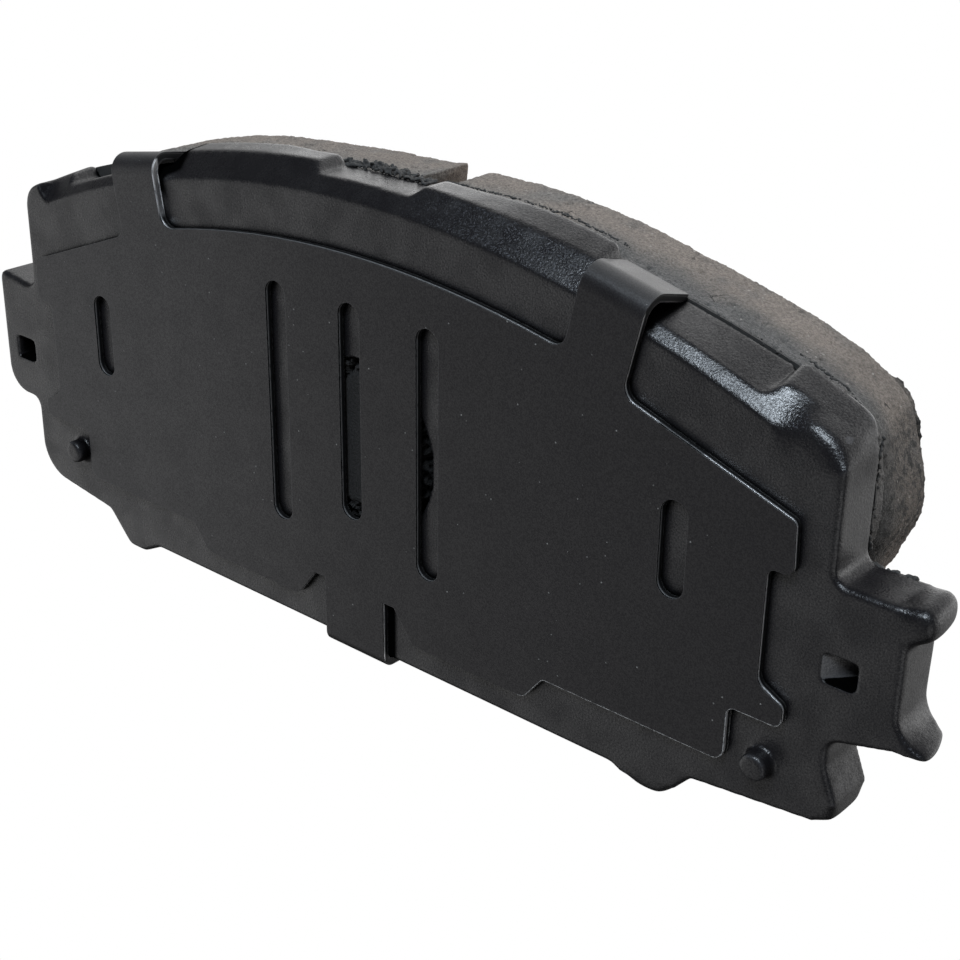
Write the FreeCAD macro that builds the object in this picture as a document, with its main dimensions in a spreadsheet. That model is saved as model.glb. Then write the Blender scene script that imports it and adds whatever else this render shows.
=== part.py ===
import FreeCAD, Part
import math
import os
import Sketcher
from FreeCAD import Placement, Rotation, Vector

# Front disc brake pad: a stamped steel backing plate that carries a slotted friction lining on one face
# and a clipped, rubber-coated anti-squeal shim on the other.
#
# Frame: +X along the pad's length, +Y out of the backing plate's rear face towards the brake disc, +Z up,
# away from the axle. The origin lies on the plate's rear face, half way along the pad, level with the
# top of its ears. Lengths are millimetres.

DIMENSIONS = [
    ("plate_thickness", 5.5, "gauge of the backing plate"),
    ("disc_centre_level", -100.0, "level of the centre that the plate's and shim's curved top edges share"),
    ("plate_top_radius", 122.8, "curved top edge of the plate"),
    ("plate_notch_radius", 121.8, "floor of the middle notch in the top edge"),
    ("clip_notch_radius", 121.5, "floor of the notches under the clip tabs"),
    ("bevel_radius", 120.4, "where the bevel of the top edge meets the rear face"),
    ("bevel_half_angle", 23.1, "half of the arc that the bevel covers"),
    ("bevel_runout", 1.2, "rounding where the bevel ends"),
    ("recess_half_width", 5.8, "middle notch of the top edge"),
    ("notch_inner", 26.0, "inner end of the notches under the clip tabs"),
    ("notch_outer", 43.8, "outer end of the notches under the clip tabs"),
    ("notch_wall_run", 0.9, "how far a notch wall leans"),
    ("plate_side_right", 52.0, "side of the plate above the forked ear"),
    ("plate_side_left", 50.9, "side of the plate above the plain ear"),
    ("shoulder_round", 2.8, "top outer corners of the plate"),
    ("neck_round", 1.2, "inside corners at the ears"),
    ("ear_top", 0.0, "top edge of the forked ear"),
    ("ear_lip_start", 57.6, "where the top of the forked ear begins to rise"),
    ("ear_lip_rise", 0.9, "how far it rises to its end"),
    ("ear_tip", 60.9, "end of the forked ear's upper prong"),
    ("fork_floor", 58.7, "bottom of the notch in the forked ear"),
    ("fork_top", -2.9, "upper side of that notch"),
    ("fork_bottom", -10.3, "lower side of that notch"),
    ("prong_round", 1.3, "corners of the forked ear's upper prong"),
    ("hook_round", 0.75, "corners of its lower prong"),
    ("hook_tip", 61.8, "end of the forked ear's lower prong"),
    ("hook_side", -11.9, "lower end of the hook's flat"),
    ("ear_bottom", -14.2, "underside of the forked ear where it meets the leg"),
    ("tongue_tip", 57.3, "end of the plain ear"),
    ("tongue_top", 1.3, "top of the plain ear at its end"),
    ("tongue_neck", 0.4, "top of the plain ear at the plate's side"),
    ("tongue_bottom", -13.3, "underside of the plain ear"),
    ("tongue_round", 3.0, "lower corner of the plain ear"),
    ("leg_side", 53.0, "side of the leg below the forked ear"),
    ("leg_flare", 54.3, "widest place of that leg"),
    ("leg_flare_level", -19.8, "level of the widest place"),
    ("leg_bottom", -22.1, "lower corner of both legs"),
    ("plain_leg_side", 52.1, "side of the leg below the plain ear"),
    ("plain_leg_round", 4.2, "lower corner of that leg"),
    ("leg_foot", 40.2, "where the bottom edge drops from leg to lug"),
    ("leg_foot_level", -23.7, "level there"),
    ("lug_outer", 37.0, "outer side of the bottom lugs"),
    ("lug_inner", 34.4, "inner corner of the bottom lugs"),
    ("lug_root", 31.6, "where the lug's slope meets the bottom edge"),
    ("lug_bottom", -27.2, "lowest level of the lugs"),
    ("bottom_edge", -25.8, "bottom edge of the plate"),
    ("edge_round", 0.45, "die roll round the rear face"),
    ("disc_side_round", 0.4, "rounding round the face towards the disc"),
    ("wedge_inner", 51.7, "shallow end of the wedge pockets in the ears"),
    ("wedge_outer", 54.9, "deep end of the wedge pockets"),
    ("wedge_top", -6.2, "upper side of the wedge pockets"),
    ("wedge_bottom", -8.8, "lower side of the wedge pockets"),
    ("wedge_depth", 3.6, "depth at the deep end"),
    ("peg_radius", 1.3, "locating pegs pushed out of the plate"),
    ("peg_height", 1.7, "how far the pegs stand out"),
    ("peg_foot_round", 0.35, "rounding at the foot of a peg"),
    ("peg_punch_radius", 1.4, "blind punch hole behind each peg"),
    ("peg_right_along", 47.2, "peg beside the forked ear"),
    ("peg_right_level", -18.5, "its level"),
    ("peg_left_along", -43.9, "peg beside the plain ear"),
    ("peg_left_level", -17.2, "its level"),
    ("keyhole_radius", 8.7, "hole in the plate that the moulded backing fills"),
    ("keyhole_along", 1.2, "its place along the pad"),
    ("keyhole_level", -3.4, "its level"),
    ("plug_recess", 0.25, "how far the moulded plug stays below the rear face"),
    ("film_thickness", 0.2, "adhesive film on the plate"),
    ("backing_thickness", 1.5, "moulded underlayer"),
    ("lining_face", 14.7, "distance of the friction face from the plate's rear face"),
    ("lining_top_radius", 144.5, "curved top edge of the lining"),
    ("lining_top_level", 21.4, "top of the lining on the mid-plane"),
    ("lining_corner", 51.0, "top outer corner of the lining"),
    ("lining_corner_round", 6.0, "rounding of that corner"),
    ("lining_belly", 52.35, "corner of the lining's bulging side"),
    ("lining_belly_level", 3.2, "its level"),
    ("lining_belly_round", 13.0, "its rounding"),
    ("lining_flank", 48.3, "lower end of the bulging side, behind the ears"),
    ("lining_flank_level", -6.5, "level there"),
    ("lining_flank_round", 6.0, "rounding there"),
    ("lining_foot", 43.6, "lower outer corner of the lining"),
    ("lining_foot_round", 7.0, "rounding of that corner"),
    ("lining_bottom", -22.4, "bottom edge of the lining"),
    ("groove_left", 0.6, "left wall of the groove between the blocks"),
    ("groove_right", 3.5, "right wall of that groove"),
    ("groove_corner_left", 0.9, "top corner of the left block at the groove"),
    ("groove_corner_right", 1.6, "top corner of the right block at the groove"),
    ("lining_chamfer", 0.7, "chamfer round the friction face"),
    ("coat_thickness", 0.15, "rubber coat on each side of the shim"),
    ("core_thickness", 0.5, "steel core of the shim"),
    ("shim_top_radius", 115.5, "curved top edge of the shim"),
    ("clip_level", 16.0, "level at which the top clip tabs are placed"),
    ("clip_width", 6.6, "width of the top clip tabs"),
    ("clip_right_along", 29.4, "middle of the right clip tab at that level"),
    ("clip_right_tilt", 13.5, "its lean away from the mid-plane"),
    ("clip_right_straight", 1.95, "its flat length above that level"),
    ("clip_right_turn", 106.0, "angle that it is bent through"),
    ("clip_left_along", 30.4, "distance of the left clip tab's middle at that level"),
    ("clip_left_tilt", 10.0, "its lean away from the mid-plane"),
    ("clip_left_straight", 1.3, "its flat length above that level"),
    ("clip_left_turn", 100.0, "angle that it is bent through"),
    ("clip_bend", 1.2, "inside bend radius of a clip tab"),
    ("clip_flap", 3.85, "length of the folded end of a clip tab"),
    ("clip_root", 5.0, "how far a clip tab's strip runs into the shim"),
    ("root_round", 1.5, "inside corners at the clip tabs"),
    ("shim_shoulder", 48.7, "outer top corner of the shim"),
    ("shim_shoulder_level", 4.5, "its level"),
    ("shim_wing", 48.9, "outer edge of the shim's upper wing"),
    ("shim_wing_bottom", -0.2, "underside of the upper wing"),
    ("shim_waist", 46.5, "side of the shim between its wings"),
    ("shim_waist_bottom", -10.8, "lower end of that side"),
    ("shim_wing_low", 49.1, "outer edge of the lower wing"),
    ("shim_wing_low_top", -12.2, "upper corner of the lower wing"),
    ("shim_wing_low_bottom", -14.2, "underside of the lower wing"),
    ("shim_lobe_right", 43.9, "outer edge of the lobe beside the right peg"),
    ("shim_lobe_left", 41.7, "outer edge of the lobe beside the left peg"),
    ("shim_lobe_bottom", -19.7, "bottom edge of the lobes"),
    ("shim_step_outer", 24.2, "top of the step in the bottom edge"),
    ("shim_step_inner", 22.0, "foot of that step"),
    ("shim_bottom", -22.5, "bottom edge of the shim"),
    ("relief_outer", 8.0, "outer foot of the relief beside the bottom tab"),
    ("relief_inner", 5.5, "inner top of that relief"),
    ("relief_top", -19.2, "top of that relief"),
    ("foot_tab_half_width", 4.0, "half width of the bottom tab"),
    ("foot_tab_straight", -25.35, "lower end of the bottom tab's flat"),
    ("foot_tab_bend", 0.65, "inside bend radius of the bottom tab"),
    ("foot_tab_turn", 90.0, "angle that the bottom tab is bent through"),
    ("foot_tab_flap", 3.2, "length of the folded end of the bottom tab"),
    ("slot_width", 2.75, "width of every slot in the shim"),
    ("slot_middle_top", 10.9, "middle slot, upper end"),
    ("slot_middle_bottom", -11.4, "middle slot, lower end"),
    ("slot_inner_along", 9.9, "distance of the two long slots from the mid-plane"),
    ("slot_inner_top", 10.8, "long slots, upper end"),
    ("slot_inner_bottom", -14.6, "long slots, lower end"),
    ("slot_outer_along", 37.4, "distance of the two short slots from the mid-plane"),
    ("slot_outer_top", 2.8, "short slots, upper end"),
    ("slot_outer_bottom", -6.3, "short slots, lower end"),
]

SMALL_ROUND = 0.8
MEDIUM_ROUND = 1.2
SHARP = 0.0
PARTS_FOLDER = "parts"
TOLERANCE = 1e-6
NEARNESS = 0.1
UNIT_RADIUS = 1.0
BEVEL_REACH = 4.2
BEVEL_END_LEVEL = 6.0
SHORTEST_BEVEL_END = 1.0
MEETING_ROUNDS = 4

doc = FreeCAD.newDocument("brake_pad")
sheet = doc.addObject("Spreadsheet::Sheet", "Sizes")
for row, (alias, value, note) in enumerate(DIMENSIONS, start=1):
    sheet.set("A%d" % row, str(value))
    sheet.setAlias("A%d" % row, alias)
    sheet.set("B%d" % row, note)
doc.recompute()


def size(alias):
    """A driving dimension, read from the sheet."""
    return float(getattr(sheet, alias))


def arc_level(radius, along):
    """Level of a curved top edge of the given radius, at a distance along the pad."""
    return size("disc_centre_level") + math.sqrt(radius ** 2 - along ** 2)


class Corner:
    """One corner of an outline: its place, its rounding, and the radius of the edge that leaves it.

    A leaving radius of zero is a straight edge; a positive one bulges to the left of the direction of travel.
    """

    def __init__(self, along, level, rounding=SHARP, leaving_radius=0.0):
        self.point = Vector(along, level, 0)
        self.rounding = rounding
        self.leaving_radius = leaving_radius


def mirrored(corners):
    """The same corners on the other side of the mid-plane, in the same direction of travel."""
    flipped = []
    arriving_radius = 0.0
    for corner in corners:
        flipped.append(Corner(-corner.point.x, corner.point.y, corner.rounding, arriving_radius))
        arriving_radius = corner.leaving_radius
    flipped.reverse()
    return flipped


def edge_directions(start, end, radius):
    """Unit directions of travel at the two ends of a straight or bulging edge."""
    chord = end - start
    middle = math.atan2(chord.y, chord.x)
    half_turn = math.asin(chord.Length / 2 / radius) if radius else 0.0
    first = Vector(math.cos(middle + half_turn), math.sin(middle + half_turn), 0)
    second = Vector(math.cos(middle - half_turn), math.sin(middle - half_turn), 0)
    return first, second


class Piece:
    """A line or arc of an outline, and the numbers of its first and second end as it is travelled."""

    def __init__(self, geometry, leftward=True):
        self.geometry = geometry
        self.first_end = 1 if leftward else 2
        self.second_end = 2 if leftward else 1


def line_piece(start, end):
    """A straight piece."""
    return Piece(Part.LineSegment(start, end))


def arc_piece(start, end, radius, leftward):
    """An arc of a given radius, shorter than a half circle, that turns left or right as it is travelled."""
    chord = end - start
    to_left = Vector(-chord.y, chord.x, 0).normalize()
    height = math.sqrt(max(radius ** 2 - (chord.Length / 2) ** 2, 0.0))
    centre = (start + end) * 0.5 + to_left * (height if leftward else -height)
    opening, closing = (start, end) if leftward else (end, start)
    from_angle = math.atan2(opening.y - centre.y, opening.x - centre.x)
    to_angle = math.atan2(closing.y - centre.y, closing.x - centre.x)
    if to_angle < from_angle:
        to_angle += 2 * math.pi
    circle = Part.Circle(centre, Vector(0, 0, 1), radius)
    return Piece(Part.ArcOfCircle(circle, from_angle, to_angle), leftward)


def outline_pieces(corners):
    """Lines and arcs of a closed outline whose corners are rounded."""
    count = len(corners)
    arrivals = []
    departures = []
    turns_left = []
    for index, corner in enumerate(corners):
        before = corners[index - 1]
        after = corners[(index + 1) % count]
        came = edge_directions(before.point, corner.point, before.leaving_radius)[1]
        leaves = edge_directions(corner.point, after.point, corner.leaving_radius)[0]
        trim = corner.rounding * math.tan(came.getAngle(leaves) / 2)
        arrivals.append(corner.point - came * trim)
        departures.append(corner.point + leaves * trim)
        turns_left.append(came.cross(leaves).z > 0)
    pieces = []
    for index, corner in enumerate(corners):
        if corner.rounding:
            pieces.append(arc_piece(arrivals[index], departures[index], corner.rounding, turns_left[index]))
        start = departures[index]
        end = arrivals[(index + 1) % count]
        if corner.leaving_radius:
            pieces.append(arc_piece(start, end, corner.leaving_radius, False))
        else:
            pieces.append(line_piece(start, end))
    return pieces


def origin_plane(body, role):
    """One of a body's own origin planes."""
    return [plane for plane in body.Origin.OriginFeatures if plane.Role == role][0]


def new_body(label):
    """An empty body that will become one node."""
    body = doc.addObject("PartDesign::Body", label)
    body.Label = label
    return body


def new_sketch(body, name, role, offset=Placement()):
    """A sketch on one of the body's origin planes, moved by an offset in the plane's own axes."""
    sketch = body.newObject("Sketcher::SketchObject", name)
    sketch.AttachmentSupport = [(origin_plane(body, role), "")]
    sketch.MapMode = "FlatFace"
    sketch.AttachmentOffset = offset
    return sketch


def facing_sketch(body, name, depth=0.0):
    """A sketch parallel to the rear face, at a depth behind it: its x is along the pad and its y is up."""
    return new_sketch(body, name, "XZ_Plane", Placement(Vector(0, 0, -depth), Rotation()))


def draw_pieces(sketch, pieces):
    """Draw a closed run of pieces and tie each one's end to the next one's start."""
    first = sketch.GeometryCount
    for piece in pieces:
        sketch.addGeometry(piece.geometry, False)
    count = len(pieces)
    for index, piece in enumerate(pieces):
        following = (index + 1) % count
        sketch.addConstraint(
            Sketcher.Constraint(
                "Coincident", first + index, piece.second_end, first + following, pieces[following].first_end
            )
        )


def draw_outline(sketch, corners):
    """Draw a closed outline with rounded corners."""
    draw_pieces(sketch, outline_pieces(corners))


def draw_slot(sketch, along, bottom, top, width_alias):
    """Draw an upright slot with round ends."""
    radius = size(width_alias) / 2
    low = bottom + radius
    high = top - radius
    draw_pieces(
        sketch,
        [
            line_piece(Vector(along - radius, low, 0), Vector(along - radius, high, 0)),
            arc_piece(Vector(along - radius, high, 0), Vector(along + radius, high, 0), radius, False),
            line_piece(Vector(along + radius, high, 0), Vector(along + radius, low, 0)),
            arc_piece(Vector(along + radius, low, 0), Vector(along - radius, low, 0), radius, False),
        ],
    )


def draw_circle(sketch, along, level, radius_expression):
    """Draw a circle whose radius is bound to the sheet."""
    index = sketch.addGeometry(Part.Circle(Vector(along, level, 0), Vector(0, 0, 1), UNIT_RADIUS), False)
    sketch.addConstraint(Sketcher.Constraint("DistanceX", -1, 1, index, 3, along))
    sketch.addConstraint(Sketcher.Constraint("DistanceY", -1, 1, index, 3, level))
    radius = sketch.addConstraint(Sketcher.Constraint("Radius", index, UNIT_RADIUS))
    sketch.setExpression("Constraints[%d]" % radius, radius_expression)


def pad_away(body, sketch, name, length_expression):
    """Thicken a facing sketch towards the disc."""
    pad = body.newObject("PartDesign::Pad", name)
    pad.Profile = sketch
    pad.Reversed = True
    pad.setExpression("Length", length_expression)
    doc.recompute()
    return pad


def cut_away(body, sketch, name, length_expression, towards_disc=True):
    """Cut a facing sketch's shape out of the body, and make sure that it removed something."""
    before = body.Shape.Volume
    pocket = body.newObject("PartDesign::Pocket", name)
    pocket.Profile = sketch
    pocket.Reversed = not towards_disc
    pocket.setExpression("Length", length_expression)
    doc.recompute()
    if body.Shape.Volume >= before:
        raise RuntimeError("%s removed nothing" % name)
    return pocket


def edges_where(feature, accept):
    """Names of a feature's edges that pass a test."""
    return ["Edge%d" % (index + 1) for index, edge in enumerate(feature.Shape.Edges) if accept(edge)]


def dress_edges(body, kind, name, feature, names, measure, expression):
    """Round or chamfer the named edges of a feature."""
    dressed = body.newObject(kind, name)
    dressed.Base = (feature, names)
    dressed.setExpression(measure, expression)
    doc.recompute()
    return dressed


def lies_at_depth(edge, depth):
    """True for an edge that lies flat at one distance from the rear face."""
    box = edge.BoundBox
    return abs(box.YMin - depth) < TOLERANCE and abs(box.YMax - depth) < TOLERANCE


def top_corners(side_alias):
    """Corners of one half of the plate from the middle notch to the ear, clockwise on the right."""
    top = size("plate_top_radius")
    middle_floor = size("plate_notch_radius")
    floor = size("clip_notch_radius")
    lean = size("notch_wall_run")
    recess = size("recess_half_width")
    inner = size("notch_inner")
    outer = size("notch_outer")
    side = size(side_alias)
    return [
        Corner(recess, arc_level(middle_floor, recess), SMALL_ROUND),
        Corner(recess + lean, arc_level(top, recess + lean), SMALL_ROUND, top),
        Corner(inner, arc_level(top, inner), SMALL_ROUND),
        Corner(inner + lean, arc_level(floor, inner + lean), SMALL_ROUND, floor),
        Corner(outer, arc_level(floor, outer), SMALL_ROUND),
        Corner(outer + lean, arc_level(top, outer + lean), SMALL_ROUND, top),
        Corner(side, arc_level(top, side), size("shoulder_round")),
    ]


def foot_corners():
    """Corners of the plate's right half from the leg to the lug, clockwise."""
    return [
        Corner(size("leg_foot"), size("leg_foot_level"), SMALL_ROUND),
        Corner(size("lug_outer"), size("lug_bottom"), MEDIUM_ROUND),
        Corner(size("lug_inner"), size("lug_bottom"), MEDIUM_ROUND),
        Corner(size("lug_root"), size("bottom_edge"), MEDIUM_ROUND),
    ]


def forked_ear_corners():
    """The forked ear and the leg below it, clockwise."""
    tip = size("ear_tip")
    floor = size("fork_floor")
    hook = size("hook_tip")
    leg = size("leg_side")
    flare = size("leg_flare")
    lip = size("ear_lip_start")
    ear_top = size("ear_top")
    lip_top = ear_top + size("ear_lip_rise")
    return [
        Corner(size("plate_side_right"), ear_top, size("neck_round")),
        Corner(lip, ear_top, SMALL_ROUND),
        Corner(tip, lip_top, size("prong_round")),
        Corner(tip, size("fork_top"), size("prong_round")),
        Corner(floor, size("fork_top"), SMALL_ROUND),
        Corner(floor, size("fork_bottom"), SMALL_ROUND),
        Corner(hook, size("fork_bottom"), size("hook_round")),
        Corner(hook, size("hook_side"), size("hook_round")),
        Corner(leg, size("ear_bottom"), size("neck_round")),
        Corner(leg, size("ear_bottom") - size("neck_round") * 2, MEDIUM_ROUND),
        Corner(flare, size("leg_flare_level"), MEDIUM_ROUND),
        Corner(flare, size("leg_bottom"), SMALL_ROUND),
    ]


def plain_ear_corners():
    """The plain ear and the leg below it on the left side, clockwise."""
    leg = -size("plain_leg_side")
    tip = -size("tongue_tip")
    bottom = size("tongue_bottom")
    return [
        Corner(leg, size("leg_bottom"), size("plain_leg_round")),
        Corner(leg, bottom, size("neck_round")),
        Corner(tip, bottom, size("tongue_round")),
        Corner(tip, size("tongue_top"), SMALL_ROUND),
        Corner(-size("plate_side_left"), size("tongue_neck"), size("neck_round")),
    ]


def plate_corners():
    """The whole outline of the backing plate, clockwise from the middle notch."""
    right = top_corners("plate_side_right") + forked_ear_corners() + foot_corners()
    left = mirrored(foot_corners()) + plain_ear_corners() + mirrored(top_corners("plate_side_left"))
    left[-1].leaving_radius = size("plate_notch_radius")
    return right + left


def build_plate():
    """The stamped backing plate: outline, bevel, hole, wedge pockets and locating pegs."""
    body = new_body("backing_plate")
    outline = facing_sketch(body, "PlateOutline")
    draw_outline(outline, plate_corners())
    pad_away(body, outline, "PlateBlank", "Sizes.plate_thickness")

    hole = facing_sketch(body, "KeyholeOutline")
    draw_circle(hole, size("keyhole_along"), size("keyhole_level"), "Sizes.keyhole_radius")
    cut_away(body, hole, "Keyhole", "Sizes.plate_thickness")

    for side, name in ((1, "Right"), (-1, "Left")):
        cut_wedge(body, side, name)
    cut_bevel(body)
    round_edges(body)
    for name in ("right", "left"):
        raise_peg(body, name)
    return body


def cut_wedge(body, side, name):
    """A stamped pocket in one ear whose floor slopes down towards the ear's end."""
    level = (size("wedge_top") + size("wedge_bottom")) / 2
    wedge = new_sketch(body, "Wedge" + name, "XY_Plane", Placement(Vector(0, 0, level), Rotation()))
    shallow = Vector(side * size("wedge_inner"), 0, 0)
    mouth = Vector(side * size("wedge_outer"), 0, 0)
    deep = Vector(side * size("wedge_outer"), size("wedge_depth"), 0)
    draw_pieces(wedge, [line_piece(shallow, mouth), line_piece(mouth, deep), line_piece(deep, shallow)])
    before = body.Shape.Volume
    pocket = body.newObject("PartDesign::Pocket", "WedgePocket" + name)
    pocket.Profile = wedge
    pocket.SideType = "Symmetric"
    pocket.setExpression("Length", "Sizes.wedge_top - Sizes.wedge_bottom")
    doc.recompute()
    if body.Shape.Volume >= before:
        raise RuntimeError("a wedge pocket removed nothing")


def cut_bevel(body):
    """The wide bevel along the top edge, turned about the disc's axis."""
    centre = Placement(Vector(0, size("disc_centre_level"), 0), Rotation())
    profile = new_sketch(body, "BevelProfile", "YZ_Plane", centre)
    foot = size("bevel_radius")
    start = Vector(-BEVEL_REACH, foot - BEVEL_REACH, 0)
    crest = Vector(BEVEL_REACH, foot + BEVEL_REACH, 0)
    outside = Vector(-BEVEL_REACH, foot + BEVEL_REACH, 0)
    draw_pieces(profile, [line_piece(start, crest), line_piece(crest, outside), line_piece(outside, start)])
    before = body.Shape.Volume
    groove = body.newObject("PartDesign::Groove", "Bevel")
    groove.Profile = profile
    groove.ReferenceAxis = (profile, ["H_Axis"])
    groove.Midplane = True
    groove.setExpression("Angle", "2 * Sizes.bevel_half_angle")
    doc.recompute()
    if body.Shape.Volume >= before:
        raise RuntimeError("the bevel removed nothing")
    ends = edges_where(groove, is_bevel_end)
    dress_edges(body, "PartDesign::Fillet", "BevelRunout", groove, ends, "Radius", "Sizes.bevel_runout")


def is_bevel_end(edge):
    """True for the inside edge where the bevel stops."""
    box = edge.BoundBox
    climbs = min(box.YLength, box.ZLength) > SHORTEST_BEVEL_END and box.YMin < NEARNESS
    outward = abs(box.Center.x) > size("notch_outer")
    return climbs and outward and box.ZMin > size("ear_top") + BEVEL_END_LEVEL


def round_edges(body):
    """Round the outline's edges: the die roll of the rear face, and the face towards the disc."""
    base = body.Tip
    rear = edges_where(base, lambda edge: lies_at_depth(edge, 0.0) and is_outer_edge(edge))
    rolled = dress_edges(body, "PartDesign::Fillet", "DieRoll", base, rear, "Radius", "Sizes.edge_round")
    thickness = size("plate_thickness")
    front = edges_where(rolled, lambda edge: lies_at_depth(edge, thickness) and not is_keyhole(edge))
    dress_edges(body, "PartDesign::Fillet", "DiscSide", rolled, front, "Radius", "Sizes.disc_side_round")


def is_outer_edge(edge):
    """True for an edge of the outline below the bevel."""
    box = edge.BoundBox
    bevelled = box.Center.z > size("ear_top") + BEVEL_END_LEVEL
    beside_pockets = box.ZMin > size("wedge_bottom") - NEARNESS and box.ZMax < size("wedge_top") + NEARNESS
    pocket = beside_pockets and abs(box.Center.x) < size("wedge_outer") + NEARNESS
    return not (bevelled or pocket or is_keyhole(edge))


def is_keyhole(edge):
    """True for an edge of the hole that the plug fills."""
    return is_ring(edge, size("keyhole_along"), size("keyhole_level"))


def raise_peg(body, name):
    """A locating peg pushed out of the rear face, with the punch's blind hole behind it."""
    along = size("peg_%s_along" % name)
    level = size("peg_%s_level" % name)
    title = name.capitalize()
    circle = facing_sketch(body, "Peg%sCircle" % title)
    draw_circle(circle, along, level, "Sizes.peg_radius")
    peg = body.newObject("PartDesign::Pad", "Peg" + title)
    peg.Profile = circle
    peg.setExpression("Length", "Sizes.peg_height")
    doc.recompute()
    foot = edges_where(peg, lambda edge: lies_at_depth(edge, 0.0) and is_ring(edge, along, level))
    dress_edges(body, "PartDesign::Fillet", "PegFoot" + title, peg, foot, "Radius", "Sizes.peg_foot_round")
    bottom = size("plate_thickness") - size("peg_height")
    punch = facing_sketch(body, "Punch%sCircle" % title, bottom)
    draw_circle(punch, along, level, "Sizes.peg_punch_radius")
    cut_away(body, punch, "Punch" + title, "Sizes.peg_height")


def is_ring(edge, along, level):
    """True for a full circle about a place on the rear face."""
    centre = edge.BoundBox.Center
    return edge.Closed and math.hypot(centre.x - along, centre.z - level) < NEARNESS


def lining_corners(right_only=False, left_only=False):
    """Outline of the moulded lining, clockwise; one block of it on request."""
    top = size("lining_top_radius")
    centre = size("lining_top_level") - top
    corner = size("lining_corner")
    corner_level = centre + math.sqrt(top ** 2 - corner ** 2)
    half = [
        Corner(corner, corner_level, size("lining_corner_round")),
        Corner(size("lining_belly"), size("lining_belly_level"), size("lining_belly_round")),
        Corner(size("lining_flank"), size("lining_flank_level"), size("lining_flank_round")),
        Corner(size("lining_foot"), size("lining_bottom"), size("lining_foot_round")),
    ]
    if right_only:
        wall = size("groove_right")
        wall_top = centre + math.sqrt(top ** 2 - wall ** 2)
        start = [Corner(wall, size("lining_bottom"), SHARP)]
        start.append(Corner(wall, wall_top, size("groove_corner_right"), top))
        return start + half
    left = mirrored(half)
    left[-1].leaving_radius = top
    if left_only:
        wall = size("groove_left")
        wall_top = centre + math.sqrt(top ** 2 - wall ** 2)
        left.append(Corner(wall, wall_top, size("groove_corner_left")))
        left.append(Corner(wall, size("lining_bottom"), SHARP))
        return left
    return half + left


def build_film():
    """The adhesive film between plate and underlayer, open where the plug passes."""
    body = new_body("adhesive_film")
    outline = facing_sketch(body, "FilmOutline", size("plate_thickness"))
    draw_outline(outline, lining_corners())
    pad_away(body, outline, "Film", "Sizes.film_thickness")
    hole = facing_sketch(body, "FilmHoleOutline", size("plate_thickness"))
    draw_circle(hole, size("keyhole_along"), size("keyhole_level"), "Sizes.keyhole_radius")
    cut_away(body, hole, "FilmHole", "Sizes.film_thickness")
    return body


def build_underlayer():
    """The moulded underlayer with the plug that fills the plate's hole."""
    body = new_body("underlayer")
    outline = facing_sketch(body, "UnderlayerOutline", size("plate_thickness") + size("film_thickness"))
    draw_outline(outline, lining_corners())
    pad_away(body, outline, "Layer", "Sizes.backing_thickness")
    circle = facing_sketch(body, "PlugCircle", size("plug_recess"))
    draw_circle(circle, size("keyhole_along"), size("keyhole_level"), "Sizes.keyhole_radius")
    length = "Sizes.plate_thickness + Sizes.film_thickness + Sizes.backing_thickness - Sizes.plug_recess"
    pad_away(body, circle, "Plug", length)
    return body


def build_block(label, **which):
    """One friction block, with a chamfer round its friction face."""
    body = new_body(label)
    depth = size("plate_thickness") + size("film_thickness") + size("backing_thickness")
    outline = facing_sketch(body, label + "_outline", depth)
    draw_outline(outline, lining_corners(**which))
    length = "Sizes.lining_face - Sizes.plate_thickness - Sizes.film_thickness - Sizes.backing_thickness"
    block = pad_away(body, outline, label + "_blank", length)
    rim = edges_where(block, lambda edge: lies_at_depth(edge, size("lining_face")))
    dress_edges(body, "PartDesign::Chamfer", label + "_rim", block, rim, "Size", "Sizes.lining_chamfer")
    return body


def shim_half(lobe_alias):
    """Corners of one half of the shim from the clip tab's root to the bottom tab, clockwise."""
    return [
        Corner(size("shim_shoulder"), size("shim_shoulder_level"), SMALL_ROUND),
        Corner(size("shim_wing"), size("shim_wing_bottom"), SMALL_ROUND),
        Corner(size("shim_waist"), size("shim_wing_bottom"), SMALL_ROUND),
        Corner(size("shim_waist"), size("shim_waist_bottom"), MEDIUM_ROUND),
        Corner(size("shim_wing_low"), size("shim_wing_low_top"), SMALL_ROUND),
        Corner(size("shim_wing_low"), size("shim_wing_low_bottom"), SMALL_ROUND),
        Corner(size(lobe_alias), size("shim_wing_low_bottom"), SMALL_ROUND),
        Corner(size(lobe_alias), size("shim_lobe_bottom"), MEDIUM_ROUND),
        Corner(size("shim_step_outer"), size("shim_lobe_bottom"), SMALL_ROUND),
        Corner(size("shim_step_inner"), size("shim_bottom"), MEDIUM_ROUND),
        Corner(size("relief_outer"), size("shim_bottom"), MEDIUM_ROUND),
        Corner(size("relief_inner"), size("relief_top"), SHARP),
        Corner(size("foot_tab_half_width"), size("relief_top"), SHARP),
        Corner(size("foot_tab_half_width"), size("foot_tab_straight"), SHARP),
    ]


def clip_direction(name):
    """Unit direction in which a clip tab rises, drawn on the right side of the mid-plane."""
    tilt = math.radians(size("clip_%s_tilt" % name))
    return Vector(math.sin(tilt), math.cos(tilt), 0)


def clip_edge(name, side):
    """Root and top of a clip tab's inner (-1) or outer (+1) edge, drawn on the right side."""
    rising = clip_direction(name)
    across = Vector(rising.y, -rising.x, 0)
    middle = Vector(size("clip_%s_along" % name), size("clip_level"), 0)
    edge = middle + across * (side * size("clip_width") / 2)
    return edge - rising * size("clip_root"), edge + rising * size("clip_%s_straight" % name)


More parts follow.
